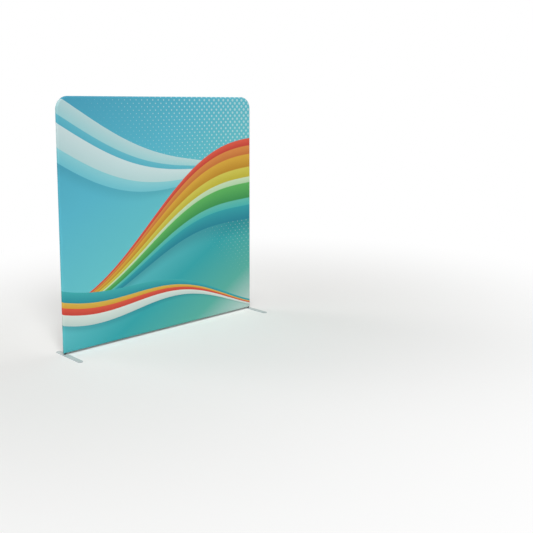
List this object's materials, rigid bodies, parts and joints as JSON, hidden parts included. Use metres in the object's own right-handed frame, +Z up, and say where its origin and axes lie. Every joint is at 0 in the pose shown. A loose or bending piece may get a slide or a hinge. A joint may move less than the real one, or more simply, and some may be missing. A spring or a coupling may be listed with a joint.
{
  "type": "trade show display",
  "caption": "Free-standing flat display wall: a printed stretch-fabric cover zipped over a knock-down tube frame with rounded top corners, on flat swivelling bar feet.",
  "frame": {"origin": "on the floor, in the middle of the footprint of the two feet", "axes": "+X along the wall's width, to the right as seen from the printed front; +Y from the front to the back; +Z up"},
  "size_m": [2.3552, 0.415, 2.342],
  "materials": {
    "printed_cover": "printed stretch knit, turquoise and sky blue, with a black hem",
    "plain_cover": "plain white stretch knit",
    "zip_tape": "woven black tape",
    "zip_teeth": "moulded black teeth",
    "zip_metal": "nickelled die casting",
    "tube_aluminium": "satin anodised",
    "moulded_plastic": "moulded black nylon",
    "spring_steel": "bright zinc",
    "screw_steel": "zinc plated",
    "insert_brass": "turned brass",
    "foot_paint": "silver grey powder coat on steel"
  },
  "bodies": {
    "display": {"front_panel": "printed_cover", "back_panel": "plain_cover", "zip_tape_upper": "zip_tape", "zip_tape_lower": "zip_tape", "zip_teeth_upper": "zip_teeth", "zip_teeth_lower": "zip_teeth", "zip_end_stops": "zip_metal", "top_left_tube": "tube_aluminium", "top_right_tube": "tube_aluminium", "left_upper_upright": "tube_aluminium", "left_lower_upright": "tube_aluminium", "right_upper_upright": "tube_aluminium", "right_lower_upright": "tube_aluminium", "bottom_left_rail": "tube_aluminium", "bottom_right_rail": "tube_aluminium", "centre_upper_pole": "tube_aluminium", "centre_lower_pole": "tube_aluminium", "top_sleeve": "tube_aluminium", "bottom_sleeve": "tube_aluminium", "left_shoulder_sleeve": "tube_aluminium", "right_shoulder_sleeve": "tube_aluminium", "left_upright_sleeve": "tube_aluminium", "right_upright_sleeve": "tube_aluminium", "centre_pole_sleeve": "tube_aluminium", "frame_rivets": "tube_aluminium", "left_corner_elbow": "moulded_plastic", "right_corner_elbow": "moulded_plastic", "centre_top_saddle": "moulded_plastic", "centre_bottom_saddle": "moulded_plastic", "top_snap_spring": "spring_steel", "bottom_snap_spring": "spring_steel", "left_shoulder_snap_spring": "spring_steel", "right_shoulder_snap_spring": "spring_steel", "left_upright_snap_spring": "spring_steel", "right_upright_snap_spring": "spring_steel", "centre_pole_snap_spring": "spring_steel", "left_elbow_snap_spring": "spring_steel", "right_elbow_snap_spring": "spring_steel", "left_foot_screw": "screw_steel", "right_foot_screw": "screw_steel", "left_thread_insert": "insert_brass", "right_thread_insert": "insert_brass"},
    "left_foot": {"left_foot": "foot_paint"},
    "right_foot": {"right_foot": "foot_paint"},
    "zip_slider": {"zip_slider": "zip_metal"},
    "zip_pull": {"zip_pull": "zip_metal"},
    "top_snap_button": {"top_snap_button": "spring_steel"},
    "bottom_snap_button": {"bottom_snap_button": "spring_steel"},
    "left_shoulder_snap_button": {"left_shoulder_snap_button": "spring_steel"},
    "right_shoulder_snap_button": {"right_shoulder_snap_button": "spring_steel"},
    "left_upright_snap_button": {"left_upright_snap_button": "spring_steel"},
    "right_upright_snap_button": {"right_upright_snap_button": "spring_steel"},
    "centre_pole_snap_button": {"centre_pole_snap_button": "spring_steel"},
    "left_elbow_snap_button": {"left_elbow_snap_button": "spring_steel"},
    "right_elbow_snap_button": {"right_elbow_snap_button": "spring_steel"}
  },
  "joints": [
    {"name": "left_foot_swivel", "type": "hinge", "parent": "display", "child": "left_foot", "pos_m": [-1.1526, 0.0775, 0.003], "axis": [0, 0, 1], "range_deg": [-90, 90]},
    {"name": "right_foot_swivel", "type": "hinge", "parent": "display", "child": "right_foot", "pos_m": [1.1526, 0.0775, 0.003], "axis": [0, 0, 1], "range_deg": [-90, 90]},
    {"name": "zip_slide", "type": "slide", "parent": "display", "child": "zip_slider", "axis": [-1, 0, 0], "range_m": [0, 2.1916], "deforming": ["zip_teeth_upper", "zip_teeth_lower"]},
    {"name": "zip_pull_flip", "type": "hinge", "parent": "zip_slider", "child": "zip_pull", "pos_m": [1.0958, 0.09655, 0.0739], "axis": [0, 0, -1], "range_deg": [0, 180]},
    {"name": "top_snap_press", "type": "slide", "parent": "display", "child": "top_snap_button", "axis": [0, 0, 1], "range_m": [0, 0.005], "stiffness_N_per_m": 800, "springref_m": -0.003, "deforming": ["top_snap_spring"]},
    {"name": "bottom_snap_press", "type": "slide", "parent": "display", "child": "bottom_snap_button", "axis": [0, 0, -1], "range_m": [0, 0.005], "stiffness_N_per_m": 800, "springref_m": -0.003, "deforming": ["bottom_snap_spring"]},
    {"name": "left_shoulder_snap_press", "type": "slide", "parent": "display", "child": "left_shoulder_snap_button", "axis": [-1, 0, 0], "range_m": [0, 0.005], "stiffness_N_per_m": 800, "springref_m": -0.003, "deforming": ["left_shoulder_snap_spring"]},
    {"name": "right_shoulder_snap_press", "type": "slide", "parent": "display", "child": "right_shoulder_snap_button", "axis": [1, 0, 0], "range_m": [0, 0.005], "stiffness_N_per_m": 800, "springref_m": -0.003, "deforming": ["right_shoulder_snap_spring"]},
    {"name": "left_upright_snap_press", "type": "slide", "parent": "display", "child": "left_upright_snap_button", "axis": [-1, 0, 0], "range_m": [0, 0.005], "stiffness_N_per_m": 800, "springref_m": -0.003, "deforming": ["left_upright_snap_spring"]},
    {"name": "right_upright_snap_press", "type": "slide", "parent": "display", "child": "right_upright_snap_button", "axis": [1, 0, 0], "range_m": [0, 0.005], "stiffness_N_per_m": 800, "springref_m": -0.003, "deforming": ["right_upright_snap_spring"]},
    {"name": "centre_pole_snap_press", "type": "slide", "parent": "display", "child": "centre_pole_snap_button", "axis": [-1, 0, 0], "range_m": [0, 0.005], "stiffness_N_per_m": 800, "springref_m": -0.003, "deforming": ["centre_pole_snap_spring"]},
    {"name": "left_elbow_snap_press", "type": "slide", "parent": "display", "child": "left_elbow_snap_button", "axis": [-1, 0, 0], "range_m": [0, 0.005], "stiffness_N_per_m": 800, "springref_m": -0.003, "deforming": ["left_elbow_snap_spring"]},
    {"name": "right_elbow_snap_press", "type": "slide", "parent": "display", "child": "right_elbow_snap_button", "axis": [1, 0, 0], "range_m": [0, 0.005], "stiffness_N_per_m": 800, "springref_m": -0.003, "deforming": ["right_elbow_snap_spring"]}
  ]
}
